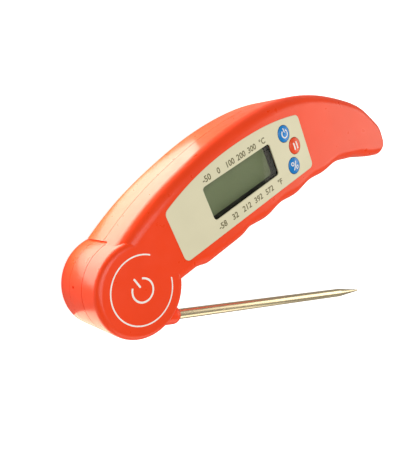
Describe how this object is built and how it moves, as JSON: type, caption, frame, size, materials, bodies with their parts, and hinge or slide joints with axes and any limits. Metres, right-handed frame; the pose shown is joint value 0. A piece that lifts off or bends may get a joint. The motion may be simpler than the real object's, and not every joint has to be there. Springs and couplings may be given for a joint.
{
  "type": "folding meat thermometer",
  "caption": "Digital probe thermometer with a curved handle, a display, three buttons and a pointed probe that folds out of the handle's edge.",
  "frame": {"origin": "pivot axis of the probe hub, on the flat back that the part lies on", "axes": "+X along the handle from the pivot to the nose, +Y towards the spine of the handle, +Z out of the display face"},
  "size_m": [0.1531, 0.1051, 0.0256],
  "materials": {
    "red_shell": "glossy injection-moulded ABS",
    "red_hub": "glossy injection-moulded ABS",
    "plate_beige": "printed satin film",
    "clear_lens": "clear acrylic",
    "black_bezel": "matte black",
    "lcd_glass": "grey-green liquid crystal panel",
    "zebra_rubber": "elastomer",
    "board_green": "solder mask",
    "epoxy_black": "potting epoxy",
    "switch_black": "moulded",
    "zinc_screw": "zinc plated",
    "copper": "plated copper",
    "ribbon_white": "flat ribbon",
    "cell_steel": "nickel plated",
    "cradle_black": "moulded",
    "spring_brass": "nickel-brass strip",
    "probe_steel": "polished stainless steel",
    "button_blue": "moulded",
    "button_red": "moulded",
    "bead_glass": "glazed thermistor bead",
    "lead_tinned": "tinned",
    "seal_rubber": "nitrile"
  },
  "bodies": {
    "handle": {"front_shell": "red_shell", "rear_shell": "red_shell", "faceplate": "plate_beige", "case_screws": "zinc_screw", "display_lens": "clear_lens", "display_bezel": "black_bezel", "display_panel": "lcd_glass", "zebra_strips": "zebra_rubber", "main_board": "board_green", "chip_blob": "epoxy_black", "tact_switches": "switch_black", "board_screws": "zinc_screw", "contact_board": "board_green", "contact_tracks": "copper", "link_ribbon": "ribbon_white", "coin_cell": "cell_steel", "battery_cradle": "cradle_black", "battery_contact_plus": "spring_brass", "battery_contact_minus": "spring_brass", "pivot_washer": "zinc_screw", "pivot_screw": "zinc_screw"},
    "probe_arm": {"hub_body": "red_hub", "hub_cover": "red_hub", "hub_screws": "zinc_screw", "switch_wiper": "spring_brass", "probe_tube": "probe_steel", "sensor_bead": "bead_glass", "sensor_leads": "lead_tinned", "probe_seal": "seal_rubber"},
    "power_button": {"power_button": "button_blue"},
    "hold_button": {"hold_button": "button_red"},
    "unit_button": {"unit_button": "button_blue"},
    "battery_door": {"battery_door": "red_shell"}
  },
  "joints": [
    {"name": "probe_hinge", "type": "hinge", "parent": "handle", "child": "probe_arm", "pos_m": [0, 0, 0], "axis": [0, 0, 1], "range_deg": [-145, 35]},
    {"name": "power_press", "type": "slide", "parent": "handle", "child": "power_button", "axis": [0, 0, -1], "range_m": [0, 0.0005], "stiffness_N_per_m": 900, "springref_m": -0.0004},
    {"name": "hold_press", "type": "slide", "parent": "handle", "child": "hold_button", "axis": [0, 0, -1], "range_m": [0, 0.0005], "stiffness_N_per_m": 900, "springref_m": -0.0004},
    {"name": "unit_press", "type": "slide", "parent": "handle", "child": "unit_button", "axis": [0, 0, -1], "range_m": [0, 0.0005], "stiffness_N_per_m": 900, "springref_m": -0.0004},
    {"name": "battery_door_turn", "type": "hinge", "parent": "handle", "child": "battery_door", "pos_m": [0.094, 0.0076, 0], "axis": [0, 0, -1], "range_deg": [0, 45]}
  ]
}
